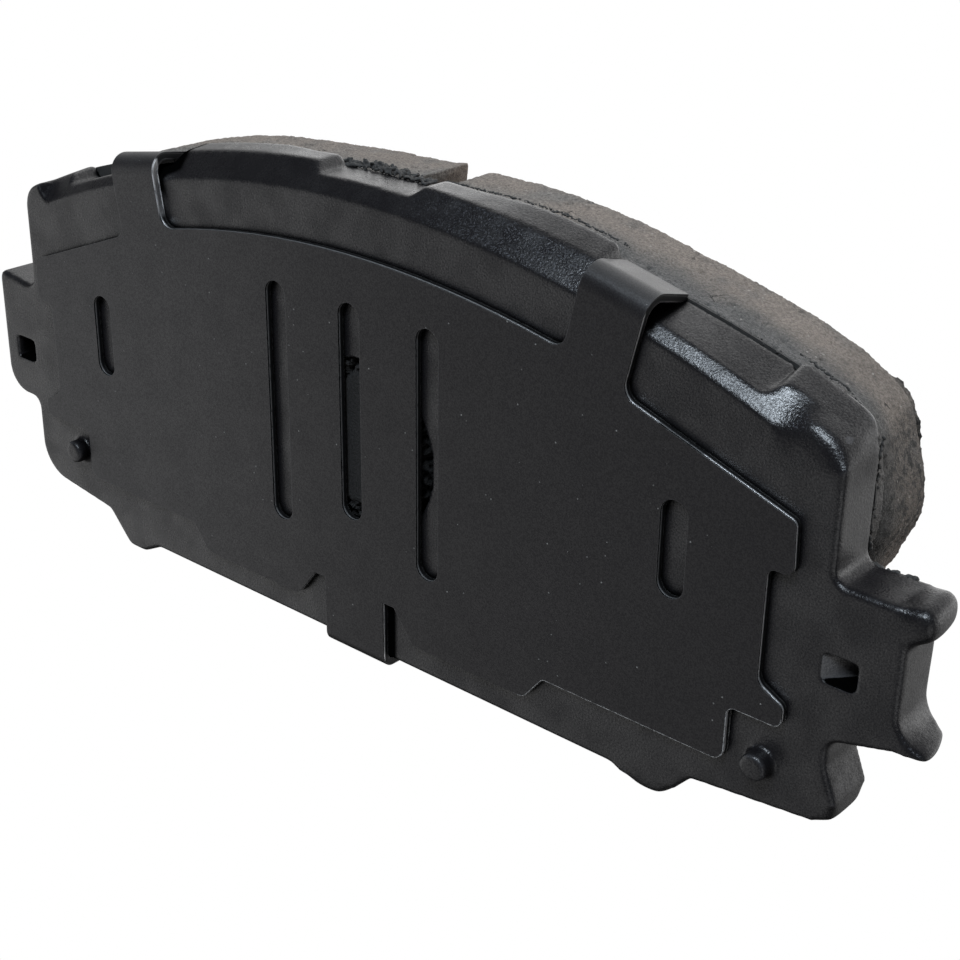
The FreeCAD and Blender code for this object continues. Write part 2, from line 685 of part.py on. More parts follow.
def clip_corners(name):
    """Corners of one half of the shim round its clip tab, clockwise on the right."""
    inner_root, inner_top = clip_edge(name, -1)
    outer_root, outer_top = clip_edge(name, 1)
    radius = size("shim_top_radius")
    slope = (inner_top.x - inner_root.x) / (inner_top.y - inner_root.y)
    meeting = inner_root.x
    for _ in range(MEETING_ROUNDS):
        meeting = inner_root.x + (arc_level(radius, meeting) - inner_root.y) * slope
    return [
        Corner(meeting, arc_level(radius, meeting), size("root_round")),
        Corner(inner_top.x, inner_top.y, SHARP),
        Corner(outer_top.x, outer_top.y, SHARP),
        Corner(outer_root.x, outer_root.y, size("root_round")),
    ]


def shim_corners():
    """The flat part of the shim, clockwise."""
    right = clip_corners("right") + shim_half("shim_lobe_right")
    left = mirrored(shim_half("shim_lobe_left")) + mirrored(clip_corners("left"))
    left[-1].leaving_radius = size("shim_top_radius")
    return right + left


def fold_pieces(bend, turn, flap, near, far, upward=True):
    """Section of a folded tab's layer between two depths: the bend and the folded end.

    The section's origin is where the flat ends, on the rear face; its x points towards the disc.
    The bend's centre stands one inside radius behind the rear face.
    """
    rise = 1 if upward else -1
    angle = math.radians(turn)
    centre = Vector(bend, 0, 0)
    outward = Vector(-math.cos(angle), rise * math.sin(angle), 0)
    forward = Vector(math.sin(angle), rise * math.cos(angle), 0)
    outer = bend - near
    inner = bend - far
    start_outer = centre + Vector(-outer, 0, 0)
    start_inner = centre + Vector(-inner, 0, 0)
    end_outer = centre + outward * outer
    end_inner = centre + outward * inner
    tip_outer = end_outer + forward * flap
    tip_inner = end_inner + forward * flap
    return [
        arc_piece(start_outer, end_outer, outer, not upward),
        line_piece(end_outer, tip_outer),
        line_piece(tip_outer, tip_inner),
        line_piece(tip_inner, end_inner),
        arc_piece(end_inner, start_inner, inner, upward),
        line_piece(start_inner, start_outer),
    ]


def fold_tab(body, name, along, level, tilt, half_width, section):
    """Add a folded tab across its width."""
    offset = Placement(Vector(0, level, along), Rotation(Vector(1, 0, 0), tilt))
    sketch = new_sketch(body, name + "Section", "YZ_Plane", offset)
    draw_pieces(sketch, section)
    pad = body.newObject("PartDesign::Pad", name)
    pad.Profile = sketch
    pad.SideType = "Symmetric"
    pad.setExpression("Length", "2 * (%s)" % half_width)
    doc.recompute()


def build_shim_layer(label, near, far, thickness_expression):
    """One layer of the shim between two depths, with its slots and its three folded tabs."""
    body = new_body(label)
    outline = facing_sketch(body, label + "_outline", near)
    draw_outline(outline, shim_corners())
    slots = (
        (0.0, "slot_middle_bottom", "slot_middle_top"),
        (size("slot_inner_along"), "slot_inner_bottom", "slot_inner_top"),
        (-size("slot_inner_along"), "slot_inner_bottom", "slot_inner_top"),
        (size("slot_outer_along"), "slot_outer_bottom", "slot_outer_top"),
        (-size("slot_outer_along"), "slot_outer_bottom", "slot_outer_top"),
    )
    for along, bottom, top in slots:
        draw_slot(outline, along, size(bottom), size(top), "slot_width")
    pad_away(body, outline, label + "_sheet", thickness_expression)
    for side, name in ((1, "right"), (-1, "left")):
        clip = fold_pieces(size("clip_bend"), size("clip_%s_turn" % name), size("clip_flap"), near, far)
        rise = clip_direction(name) * size("clip_%s_straight" % name)
        along = side * (size("clip_%s_along" % name) + rise.x)
        level = size("clip_level") + rise.y
        lean = side * size("clip_%s_tilt" % name)
        fold_tab(body, "%s_clip_%s" % (label, name), along, level, lean, "Sizes.clip_width / 2", clip)
    bend = size("foot_tab_bend")
    foot = fold_pieces(bend, size("foot_tab_turn"), size("foot_tab_flap"), near, far, False)
    level = size("foot_tab_straight")
    fold_tab(body, label + "_foot_tab", 0.0, level, 0.0, "Sizes.foot_tab_half_width", foot)
    return body


build_plate()
build_film()
build_underlayer()
build_block("friction_block_left", left_only=True)
build_block("friction_block_right", right_only=True)
coat = size("coat_thickness")
core = size("core_thickness")
build_shim_layer("shim_inner_coat", -coat, 0.0, "Sizes.coat_thickness")
build_shim_layer("shim_core", -coat - core, -coat, "Sizes.core_thickness")
build_shim_layer("shim_outer_coat", -2 * coat - core, -coat - core, "Sizes.coat_thickness")
doc.recompute()

for item in doc.Objects:
    if "Invalid" in item.State or "Error" in item.State:
        raise RuntimeError("%s is not valid: %s" % (item.Name, item.State))

os.makedirs(PARTS_FOLDER, exist_ok=True)
for body in [item for item in doc.Objects if item.TypeId == "PartDesign::Body"]:
    if body.Shape.isNull() or not body.Shape.isValid():
        raise RuntimeError("%s has no valid shape" % body.Label)
    body.Shape.exportStep(os.path.join(PARTS_FOLDER, body.Label + ".step"))
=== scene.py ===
import math
import random

import bmesh
import bpy
from mathutils import Euler, Matrix, Vector


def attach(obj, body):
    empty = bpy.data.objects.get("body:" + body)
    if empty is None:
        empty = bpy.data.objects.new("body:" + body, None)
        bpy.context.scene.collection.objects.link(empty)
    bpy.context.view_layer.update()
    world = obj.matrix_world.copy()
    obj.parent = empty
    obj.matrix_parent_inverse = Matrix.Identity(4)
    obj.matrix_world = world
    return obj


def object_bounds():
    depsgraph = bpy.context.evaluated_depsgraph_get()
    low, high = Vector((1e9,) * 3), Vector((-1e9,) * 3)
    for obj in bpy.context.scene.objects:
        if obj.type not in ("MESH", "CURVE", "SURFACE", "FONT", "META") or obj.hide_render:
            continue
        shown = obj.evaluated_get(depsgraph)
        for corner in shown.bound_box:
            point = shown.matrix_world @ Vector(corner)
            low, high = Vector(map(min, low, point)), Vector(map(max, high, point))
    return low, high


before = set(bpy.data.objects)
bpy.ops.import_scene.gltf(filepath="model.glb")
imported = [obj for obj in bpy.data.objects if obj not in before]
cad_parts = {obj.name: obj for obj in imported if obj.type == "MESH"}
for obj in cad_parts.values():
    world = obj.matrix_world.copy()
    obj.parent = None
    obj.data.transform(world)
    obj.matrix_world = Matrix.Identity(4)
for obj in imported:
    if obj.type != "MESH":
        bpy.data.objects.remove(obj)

cad_low, cad_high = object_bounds()

MM = 0.001
SEED = 11
random.seed(SEED)

# Everything on the pad is in millimetres: X along it, Y towards the disc, Z away from the axle.
# A pair is a place across the pad (X, Z), or a span from low to high.

# The top edges are arcs about the middle of the pad, each with its centre's level and its radius.
PLATE_ARC = (-100.0, 122.8)
MIDDLE_NOTCH_ARC = (-100.0, 121.8)
CLIP_NOTCH_ARC = (-100.0, 121.5)
LINING_ARC = (-123.07, 144.5)
MIDDLE_NOTCH = (-9.6, 6.4)
CLIP_NOTCH = (27.0, 44.0)
RIM_SPAN = (8.0, 20.0)
RIM_RISE = 0.9
PLATE_TOP = 22.4

# Plate: its right side, and the parts of the forked ear, the leg, the lug and the two shoulders.
PLATE_SIDE = 52.0
EAR_START = 50.5
EAR_TOP = -0.14
PRONG = (60.7, -1.2)
HOOK = (61.4, -11.2)
HOOK_TIP = (61.7, -12.2)
FORK_START = 58.2
LEG = (54.2, -21.9)
LUG = (35.7, -26.6)
RIGHT_SHOULDER = (49.0, 12.0)
LEFT_SHOULDER = (-46.9, 14.6)
POCKET_SPAN = (51.3, 55.2)
POCKET_LEVELS = (-9.1, -5.9)

# Moulding: the plug in the plate's hole, the seam between underlayer and blocks, and the blocks' corners.
HOLE = (1.2, -3.4)
HOLE_RADIUS = 8.7
PLUG_RAGGED = 2.4
SEAM = 7.2
SEAM_OVERLAP = 0.45
FLANK_CORNER = (51.5, 11.5)
FLANK_BELLY = (51.0, -1.5)
LINING_SHOULDER = (46.0, 14.5)
GROOVE_CORNER = (-1.0, 19.8)
GROOVE_CLOSING = 1.0

# Shim: a clip tab has the X of its middle at TAB_LEVEL, and its lean along X for each millimetre up.
TAB_LEVEL = 16.0
TAB_HALF_WIDTH = 3.35
LEFT_TAB = (-30.4, -0.176)
RIGHT_TAB = (29.4, 0.24)
LEFT_TAB_SPAN = (-35.5, -24.0)
FOOT_TAB_SIDE = 3.9
FOOT_TAB_TOP = -18.9
LONG_SLOTS_END = 12.0
SHORT_SLOTS = (35.0, 40.0)
SLOT_TOP = 13.0
LONG_SLOT_FOOT = -16.0
SHORT_SLOT_FOOT = -7.5

# The colour of what lies in deep shade.
UNLIT = (0.001, 0.001, 0.001)


# ---------------------------------------------------------------- node trees

class Graph:
    """A node tree under construction. Its textures are laid out over self.place."""

    def connect(self, socket, value):
        """Plug a socket into an input, or set the input's value."""
        if isinstance(value, bpy.types.NodeSocket):
            self.tree.links.new(value, socket)
            return
        if socket.type == "RGBA" and len(value) == 3:
            value = (*value, 1.0)
        socket.default_value = value

    def add(self, kind, inputs=(), **settings):
        """A node with its settings, and its inputs by name or number."""
        node = self.tree.nodes.new(kind)
        for name, value in settings.items():
            setattr(node, name, value)
        for key, value in dict(inputs).items():
            self.connect(node.inputs[key], value)
        return node

    def vector(self, operation, first, second=None, scale=None):
        """A vector calculation."""
        node = self.add("ShaderNodeVectorMath", {0: first}, operation=operation)
        if second is not None:
            self.connect(node.inputs[1], second)
        if scale is not None:
            self.connect(node.inputs["Scale"], scale)
        gives_number = operation in ("DOT_PRODUCT", "LENGTH", "DISTANCE")
        return node.outputs["Value"] if gives_number else node.outputs[0]

    def number(self, operation, first, second=0.0, clamp=False):
        """A number calculation."""
        node = self.add("ShaderNodeMath", {0: first, 1: second}, operation=operation, use_clamp=clamp)
        return node.outputs[0]

    def chain(self, operation, values):
        """The same calculation over several numbers in turn."""
        result = values[0]
        for value in values[1:]:
            result = self.number(operation, result, value)
        return result

    def times(self, *values):
        """The product of several numbers."""
        return self.chain("MULTIPLY", values)

    def plus(self, *values):
        """The total of several numbers."""
        return self.chain("ADD", values)

    def largest(self, *values):
        """The largest of several numbers."""
        return self.chain("MAXIMUM", values)

    def minus(self, first, second):
        """One number less another."""
        return self.number("SUBTRACT", first, second)

    def all_but(self, share):
        """What is left of 1 without a share of it."""
        return self.number("SUBTRACT", 1.0, share)

    def size(self, value):
        """A number without its sign."""
        return self.number("ABSOLUTE", value)

    def part(self, vector, axis):
        """One component of a vector."""
        return self.add("ShaderNodeSeparateXYZ", {0: vector}).outputs[axis]

    def at(self, axis):
        """The place along one axis."""
        return self.part(self.place, axis)

    def flat(self, vector):
        """A vector without its Y."""
        return self.vector("MULTIPLY", vector, (1.0, 0.0, 1.0))

    def fade(self, value, low, high, to_low=0.0, to_high=1.0):
        """A smooth step from one value to another as the input passes from low to high."""
        inputs = {"Value": value, "From Min": low, "From Max": high, "To Min": to_low, "To Max": to_high}
        return self.add("ShaderNodeMapRange", inputs, interpolation_type="SMOOTHSTEP").outputs[0]

    def between(self, value, low, high, rise, fall):
        """0 outside two numbers. Inside them it rises to 1 over one width, and falls back over another."""
        return self.times(self.fade(value, low, low + rise), self.fade(value, high, high - fall))

    def noise(self, per_mm, detail=2.0, roughness=0.5):
        """Cloudy noise with this many features to a millimetre, from 0 to 1."""
        inputs = {"Vector": self.place, "Scale": per_mm, "Detail": detail, "Roughness": roughness}
        return self.add("ShaderNodeTexNoise", inputs).outputs[0]

    def cells(self, per_mm, place=None, feature="F1"):
        """Distances in a pattern with this many cells to a millimetre."""
        inputs = {"Vector": self.place if place is None else place, "Scale": per_mm}
        return self.add("ShaderNodeTexVoronoi", inputs, feature=feature).outputs["Distance"]

    def off_axis(self, x, z):
        """Distance from a line along Y."""
        return self.vector("DISTANCE", self.flat(self.place), (x, 0.0, z))

    def off_plug(self):
        """Distance from the middle of the plug, with a ragged outline."""
        return self.plus(self.off_axis(*HOLE), self.times(self.noise(0.5, 3.0), PLUG_RAGGED))


class Shader(Graph):
    """A surface material, laid out over the object's own space in millimetres."""

    def __init__(self, name):
        self.material = bpy.data.materials.new(name)
        self.material.use_nodes = True
        self.tree = self.material.node_tree
        self.surface = self.tree.nodes["Principled BSDF"]
        place = self.tree.nodes.new("ShaderNodeTexCoord").outputs["Object"]
        self.place = self.vector("SCALE", place, scale=1 / MM)
        self.geometry = self.tree.nodes.new("ShaderNodeNewGeometry")

    def mix(self, share, first, second):
        """A blend of two colours."""
        node = self.add("ShaderNodeMix", data_type="RGBA")
        for number, value in ((0, share), (6, first), (7, second)):
            self.connect(node.inputs[number], value)
        return node.outputs[2]

    def facing(self, axis):
        """How squarely the surface faces along an axis, from -1 to 1."""
        return self.part(self.geometry.outputs["Normal"], axis)

    def wander(self, per_mm, reach_mm):
        """The texture space, with a wandering shift."""
        inputs = {"Vector": self.place, "Scale": per_mm, "Detail": 2.0}
        colour = self.add("ShaderNodeTexNoise", inputs).outputs["Color"]
        shift = self.vector("SCALE", self.vector("SUBTRACT", colour, (0.5, 0.5, 0.5)), scale=reach_mm)
        return self.vector("ADD", self.place, shift)

    def convexity(self, low, high):
        """0 on flats and hollows, 1 on edges and points of a dense mesh."""
        return self.fade(self.geometry.outputs["Pointiness"], low, high)

    def shelter(self, reach_mm):
        """0 in corners and slots, 1 in the open."""
        return self.add("ShaderNodeAmbientOcclusion", {"Distance": reach_mm * MM}, samples=8).outputs["AO"]

    def softened(self, radius_mm):
        """Surface direction with sharp edges rounded to a radius."""
        return self.add("ShaderNodeBevel", {"Radius": radius_mm * MM}, samples=6).outputs[0]

    def bump(self, height, depth_mm, normal=None):
        """Relief of a depth in millimetres."""
        inputs = {"Height": height, "Distance": depth_mm * MM, "Strength": 1.0}
        if normal is not None:
            inputs["Normal"] = normal
        return self.add("ShaderNodeBump", inputs).outputs[0]

    def finish(self, **inputs):
        """Set the surface's inputs and return the material."""
        for name, value in inputs.items():
            self.connect(self.surface.inputs[name.replace("_", " ")], value)
        return self.material


class Shaping(Graph):
    """A geometry-nodes modifier that moves a mesh's points, laid out as the materials are."""

    def __init__(self, name):
        self.tree = bpy.data.node_groups.new(name, "GeometryNodeTree")
        for direction in ("INPUT", "OUTPUT"):
            self.tree.interface.new_socket("Geometry", in_out=direction, socket_type="NodeSocketGeometry")
        self.mesh = self.tree.nodes.new("NodeGroupInput").outputs[0]
        self.position = self.tree.nodes.new("GeometryNodeInputPosition").outputs[0]
        self.normal = self.tree.nodes.new("GeometryNodeInputNormal").outputs[0]
        self.place = self.vector("SCALE", self.position, scale=1 / MM)

    def near(self, x, z, low, high):
        """1 within a distance of a line along Y, fading to 0 further out."""
        return self.fade(self.off_axis(x, z), low, high, 1.0, 0.0)

    def blurred(self, rounds, weight=1.0):
        """Each point's position averaged with its neighbours' over some rounds."""
        inputs = {"Iterations": rounds, "Weight": weight}
        node = self.add("GeometryNodeBlurAttribute", inputs, data_type="FLOAT_VECTOR")
        value = [socket for socket in node.inputs if socket.name == "Value" and socket.enabled][0]
        self.connect(value, self.position)
        return [socket for socket in node.outputs if socket.enabled][0]

    def set_points(self, **inputs):
        """Put the points at a Position, or move them by an Offset."""
        self.mesh = self.add("GeometryNodeSetPosition", {"Geometry": self.mesh, **inputs}).outputs[0]

    def smooth(self, rounds, weight=1.0):
        """Blur the points' positions."""
        self.set_points(Position=self.blurred(rounds, weight))

    def shift(self, **amounts_mm):
        """Move the points along X, Y or Z."""
        amounts = {axis: self.times(amount, MM) for axis, amount in amounts_mm.items()}
        self.set_points(Offset=self.add("ShaderNodeCombineXYZ", amounts).outputs[0])

    def push(self, direction, amount_mm):
        """Move the points along a direction."""
        self.set_points(Offset=self.vector("SCALE", direction, scale=self.times(amount_mm, MM)))

    def apply(self, piece):
        """Add the modifier to a piece."""
        end = self.tree.nodes.new("NodeGroupOutput")
        self.connect(end.inputs[0], self.mesh)
        modifier = piece.modifiers.new(self.tree.name, "NODES")
        modifier.node_group = self.tree


# ----------------------------------------------------------------- materials

def shade_beside_tab(s, tab, below, above):
    """Painted shade just right of a clip tab: 0 there and 1 elsewhere, over these widths below and above the
    bevel's foot.
    """
    middle, lean = tab
    level = s.at("Z")
    edge = s.plus(s.times(s.minus(level, TAB_LEVEL), lean), middle + TAB_HALF_WIDTH)
    away = s.minus(s.at("X"), edge)
    behind = s.fade(away, -4.0, -3.9, 1.0, 0.0)
    low = s.fade(level, 15.0, 16.5, 1.0, 0.0)
    width = s.fade(level, 17.6, 18.8, below, above)
    clear = s.fade(s.minus(away, width), 0.0, 0.9)
    return s.largest(clear, low, behind)


def shade_beside_foot_tab(s):
    """Painted shade just right of the bottom tab: 0 there, 1 elsewhere."""
    away = s.minus(s.at("X"), FOOT_TAB_SIDE)
    low = s.fade(s.at("Z"), FOOT_TAB_TOP, FOOT_TAB_TOP - 0.3)
    return s.all_but(s.times(s.between(away, -0.1, 1.5, 0.1, 0.6), low))


def pocket_walls(s):
    """Masks for painted light on the sloping floors of the ears' wedge pockets, and painted shade on the
    ledges at their feet.
    """
    along = s.at("X")
    pocket = s.times(
        s.between(s.size(along), *POCKET_SPAN, 0.3, 0.2),
        s.between(s.at("Z"), *POCKET_LEVELS, 0.2, 0.2),
    )
    outward = s.times(s.number("SIGN", along), s.facing("X"))
    slope = s.times(pocket, s.fade(outward, 0.4, 0.6))
    ledge = s.times(pocket, s.fade(s.facing("Z"), 0.45, 0.7))
    return slope, ledge


def painted_light_mask(s, slope, ledge):
    """Painted light: 0 for painted shade in hollows, on the pockets' ledges and beside the tabs, 1 in the
    open and on the pockets' slopes.
    """
    lit = s.fade(s.shelter(2.2), 0.45, 0.72)
    lit = s.times(s.largest(lit, slope), s.all_but(ledge))
    left = shade_beside_tab(s, LEFT_TAB, below=0.4, above=2.4)
    right = shade_beside_tab(s, RIGHT_TAB, below=0.2, above=0.9)
    return s.times(lit, left, right, shade_beside_foot_tab(s))


def worn_gloss(s):
    """Share of gloss left: less on the forked ear's top, the legs' and plate's sides, and at left."""
    along = s.at("X")
    level = s.at("Z")
    past_plate = s.fade(along, EAR_START, EAR_START + 1.0)
    past_sides = s.fade(s.size(along), EAR_START, EAR_START + 1.0)
    ear = s.times(s.fade(s.facing("Z"), 0.5, 0.8), s.fade(level, 3.0, 1.5), past_plate, 0.55)
    sideways = s.fade(s.size(s.facing("X")), 0.5, 0.8)
    leg = s.times(sideways, s.fade(level, -14.5, -16.0), 0.45)
    side = s.times(sideways, s.fade(level, 5.0, 9.0), past_sides, 0.35)
    patchy = s.fade(s.noise(0.35, 3.0, 0.6), 0.3, 0.6, 0.6, 1.2)
    dull = s.times(s.largest(ear, leg, side), patchy)
    at_left_shoulder = s.times(s.fade(along, -45.5, -46.5), s.fade(level, 9.5, 10.5))
    matt = s.times(at_left_shoulder, s.fade(s.facing("X"), 0.1, 0.3), 0.93)
    return s.number("SUBTRACT", 1.0, s.largest(dull, matt), clamp=True)


def plate_paint():
    """Satin black powder coat, thin on the edges, with painted sparkle highlights on the right half of the
    bevel, and painted light and shade in the pockets, hollows and beside the tabs.
    """
    s = Shader("plate_paint")
    colour = s.mix(s.noise(0.2, 3.0), (0.006, 0.0055, 0.0065), (0.011, 0.0105, 0.0115))
    edge = s.times(s.convexity(0.515, 0.56), s.fade(s.noise(0.9, 4.0, 0.7), 0.35, 0.6))
    colour = s.mix(s.times(edge, 0.5), colour, (0.06, 0.06, 0.065))
    # Painted highlight: pale bluish sparkles on the right half of the bevel.
    bevel = s.times(s.fade(s.facing("Z"), 0.35, 0.55), s.fade(s.facing("Y"), -0.45, -0.6))
    bevel = s.times(bevel, s.fade(s.at("X"), 2.0, 18.0, 0.0, 0.7))
    painted_sparkle = s.fade(s.noise(5.5, 2.0, 0.8), 0.55, 0.64)
    colour = s.mix(s.times(bevel, painted_sparkle), colour, (0.075, 0.078, 0.088))
    # Painted light and shade: lighter on the pockets' sloping floors, black in hollows, on the pockets'
    # ledges and beside the tabs; the shade also dims the gloss.
    slope, ledge = pocket_walls(s)
    lit = painted_light_mask(s, slope, ledge)
    colour = s.mix(lit, UNLIT, s.mix(slope, colour, (0.065, 0.064, 0.066)))
    rough = s.fade(s.noise(0.5, 4.0), 0.3, 0.7, 0.24, 0.34)
    glint = s.fade(s.noise(6.0, 2.0, 0.8), 0.36, 0.64, 0.26, 0.66)
    patches = s.fade(s.noise(0.22, 2.0), 0.35, 0.65, 0.75, 1.12)
    gloss = s.times(glint, lit, patches, worn_gloss(s))
    peel = s.noise(0.9, 1.0)
    pebble = s.noise(4.6, 1.0, 0.6)
    grit = s.noise(11.0, 2.0, 0.7)
    normal = s.bump(peel, 0.015)
    normal = s.bump(pebble, 0.032, normal)
    normal = s.bump(grit, 0.014, normal)
    return s.finish(Base_Color=colour, Roughness=rough, Specular_IOR_Level=gloss, Normal=normal)


def near_slots(s):
    """1 at the walls of the shim's slots."""
    along = s.size(s.at("X"))
    level = s.at("Z")
    in_long = s.times(
        s.fade(along, LONG_SLOTS_END + 0.5, LONG_SLOTS_END),
        s.fade(level, LONG_SLOT_FOOT, LONG_SLOT_FOOT + 0.5),
    )
    in_short = s.times(
        s.between(along, *SHORT_SLOTS, 0.5, 0.5),
        s.fade(level, SHORT_SLOT_FOOT, SHORT_SLOT_FOOT + 0.5),
    )
    return s.times(s.largest(in_long, in_short), s.fade(level, SLOT_TOP, SLOT_TOP - 0.5))


def on_left_tab(s):
    """1 over the left clip tab."""
    return s.times(s.between(s.at("X"), *LEFT_TAB_SPAN, 1.0, 1.0), s.fade(s.at("Z"), 13.5, 15.0))


def bare_rim_and_highlight(s):
    """Pale rims on sharp edges, partly rubber rubbed off and partly painted highlight: mostly at the shim's
    lower right, and hardly elsewhere.
    """
    straight = s.vector("DOT_PRODUCT", s.softened(0.15), s.geometry.outputs["Normal"])
    sharp = s.fade(straight, 0.995, 0.93)
    lower_right = s.times(s.fade(s.at("Z"), -13.0, -13.8), s.fade(s.at("X"), 20.0, 22.0), 0.9)
    broken = s.fade(s.noise(2.2, 4.0, 0.8), 0.42, 0.58, 0.25, 1.0)
    return s.times(sharp, s.plus(lower_right, 0.06), broken)


def shim_rubber():
    """Matt rubber coat: lighter on top from dust and painted sheen, pale specks, paler to the left as
    painted light, painted shade in hollows and slots, a painted highlight on the left tab, and rims partly
    rubbed bare and partly painted highlight.
    """
    s = Shader("shim_rubber")
    along = s.at("X")
    colour = s.mix(s.noise(0.15, 4.0), (0.0100, 0.0090, 0.0098), (0.0140, 0.0128, 0.0136))
    # Lighter on upward faces: partly dust, partly painted sheen.
    dust_and_sheen = s.times(s.fade(s.facing("Z"), 0.5, 0.95), 0.25)
    colour = s.mix(dust_and_sheen, colour, (0.16, 0.155, 0.15))
    specks = s.number("LESS_THAN", s.cells(0.9), 0.07)
    some = s.fade(s.noise(0.8, 1.0), 0.52, 0.6)
    colour = s.mix(s.times(specks, some, 0.5), colour, (0.35, 0.35, 0.34))
    # Paler to the left: painted light, as more light falls there.
    leftward = s.times(s.fade(along, 15.0, -50.0), 0.5)
    colour = s.mix(leftward, colour, (0.024, 0.023, 0.024))
    # Painted shade: black in hollows and on the walls of the slots.
    slot_wall_shade = s.times(near_slots(s), s.fade(s.size(s.facing("Y")), 0.6, 0.4))
    lit = s.times(s.fade(s.shelter(1.6), 0.45, 0.75), s.all_but(slot_wall_shade))
    colour = s.mix(lit, UNLIT, colour)
    # Painted highlight: a pale streak on the left tab's right-facing edge.
    painted_tab_highlight = s.times(
        on_left_tab(s),
        s.fade(s.at("Y"), 0.2, -0.1),
        s.fade(s.facing("X"), 0.6, 0.9),
        s.fade(s.noise(1.3, 4.0, 0.7), 0.35, 0.5, 0.3, 1.0),
    )
    colour = s.mix(painted_tab_highlight, colour, (0.55, 0.55, 0.56))
    # Pale rims on sharp edges: partly bare steel, partly painted highlight.
    colour = s.mix(bare_rim_and_highlight(s), colour, (0.62, 0.62, 0.62))
    rough = s.fade(s.noise(0.3, 4.0), 0.3, 0.7, 0.34, 0.42)
    glint = s.fade(s.noise(7.0, 2.0, 0.8), 0.36, 0.64, 0.20, 0.44)
    gloss = s.times(glint, s.fade(along, -25.0, 5.0, 1.0, 0.78), lit)
    normal = s.bump(s.noise(9.0, 3.0, 0.6), 0.012, s.softened(0.08))
    return s.finish(Base_Color=colour, Roughness=rough, Specular_IOR_Level=gloss, Normal=normal)


def shim_steel():
    """Cut edge of the shim's core: burnished at its outer corner, top and left tab, black elsewhere, and
    painted shade in slots and hollows.
    """
    s = Shader("shim_steel")
    depth = s.at("Y")
    outer = s.fade(depth, -0.44, -0.56)
    upper = s.fade(s.at("Z"), 20.15, 20.3)
    tab = s.times(on_left_tab(s), s.fade(depth, -0.1, 0.3, 1.0, 0.0), 1.6)
    bright = s.largest(outer, upper, tab)
    # Painted shade: the steel goes black in hollows and in the slots.
    lit_share = s.times(s.fade(s.shelter(2.5), 0.28, 0.45), s.fade(near_slots(s), 0.0, 1.0, 1.0, 0.2))
    worn = s.fade(s.noise(1.5, 4.0, 0.7), 0.3, 0.5, 0.25, 1.0)
    bare = s.times(bright, lit_share, worn)
    colour = s.mix(bare, (0.006, 0.006, 0.0065), (0.62, 0.62, 0.63))
    normal = s.softened(0.15)
    return s.finish(Base_Color=colour, Metallic=bare, Roughness=0.45, Specular_IOR_Level=0.2, Normal=normal)


def grain_pattern(s):
    """The compound's grains, from 0 in the pits to 1 on the grains."""
    return s.fade(s.noise(4.2, 3.0, 0.8), 0.3, 0.7)


def flank_darkening(s):
    """Darker over the right flank, mottled, weaker at its shoulder and towards its foot."""
    along = s.at("X")
    level = s.at("Z")
    height = s.times(s.fade(level, 12.5, 8.0), s.fade(level, -5.5, -0.5, 0.3, 1.0))
    flank = s.times(s.fade(along, 43.0, 50.0), height)
    shoulder = s.times(s.fade(along, 43.0, 47.0), 0.4)
    mottle = s.fade(s.noise(1.1, 4.0, 0.8), 0.40, 0.54, 1.0, 0.5)
    return s.times(s.largest(flank, shoulder), mottle, 0.95)


def cracks(s):
    """A few short wandering cracks."""
    edge = s.cells(0.55, s.wander(0.8, 1.2), "DISTANCE_TO_EDGE")
    line = s.fade(edge, 0.0, 0.035, 1.0, 0.0)
    return s.times(line, s.fade(s.noise(0.25, 2.0), 0.65, 0.71))


def friction_compound():
    """Moulded friction compound, scorched brown near the disc in blotches."""
    s = Shader("friction_compound")
    grains = grain_pattern(s)
    leftward = s.fade(s.at("X"), 26.0, 12.0)
    pits = s.mix(leftward, (0.052, 0.050, 0.048), (0.085, 0.077, 0.070))
    crests = s.mix(leftward, (0.145, 0.138, 0.131), (0.24, 0.22, 0.20))
    grey = s.mix(grains, pits, crests)
    brown = s.mix(grains, (0.130, 0.109, 0.093), (0.29, 0.243, 0.207))
    near_disc = s.fade(s.plus(s.at("Y"), s.times(s.noise(0.25, 4.0), 4.0)), 9.3, 13.4)
    blotch = s.fade(s.noise(0.11, 3.0, 0.6), 0.26, 0.50)
    colour = s.mix(s.times(near_disc, blotch), grey, brown)
    colour = s.mix(flank_darkening(s), colour, (0.020, 0.019, 0.018))
    grit = s.number("LESS_THAN", s.cells(1.3), 0.16)
    some = s.fade(s.noise(0.6, 1.0), 0.5, 0.6)
    colour = s.mix(s.times(grit, some, 0.55), colour, (0.40, 0.37, 0.34))
    crack = cracks(s)
    colour = s.mix(crack, colour, (0.008, 0.007, 0.007))
    normal = s.bump(grains, 0.07)
    normal = s.bump(s.noise(8.0, 2.0, 0.7), 0.03, normal)
    normal = s.bump(s.times(crack, -1.0), 0.15, normal)
    return s.finish(Base_Color=colour, Roughness=0.85, Normal=normal)


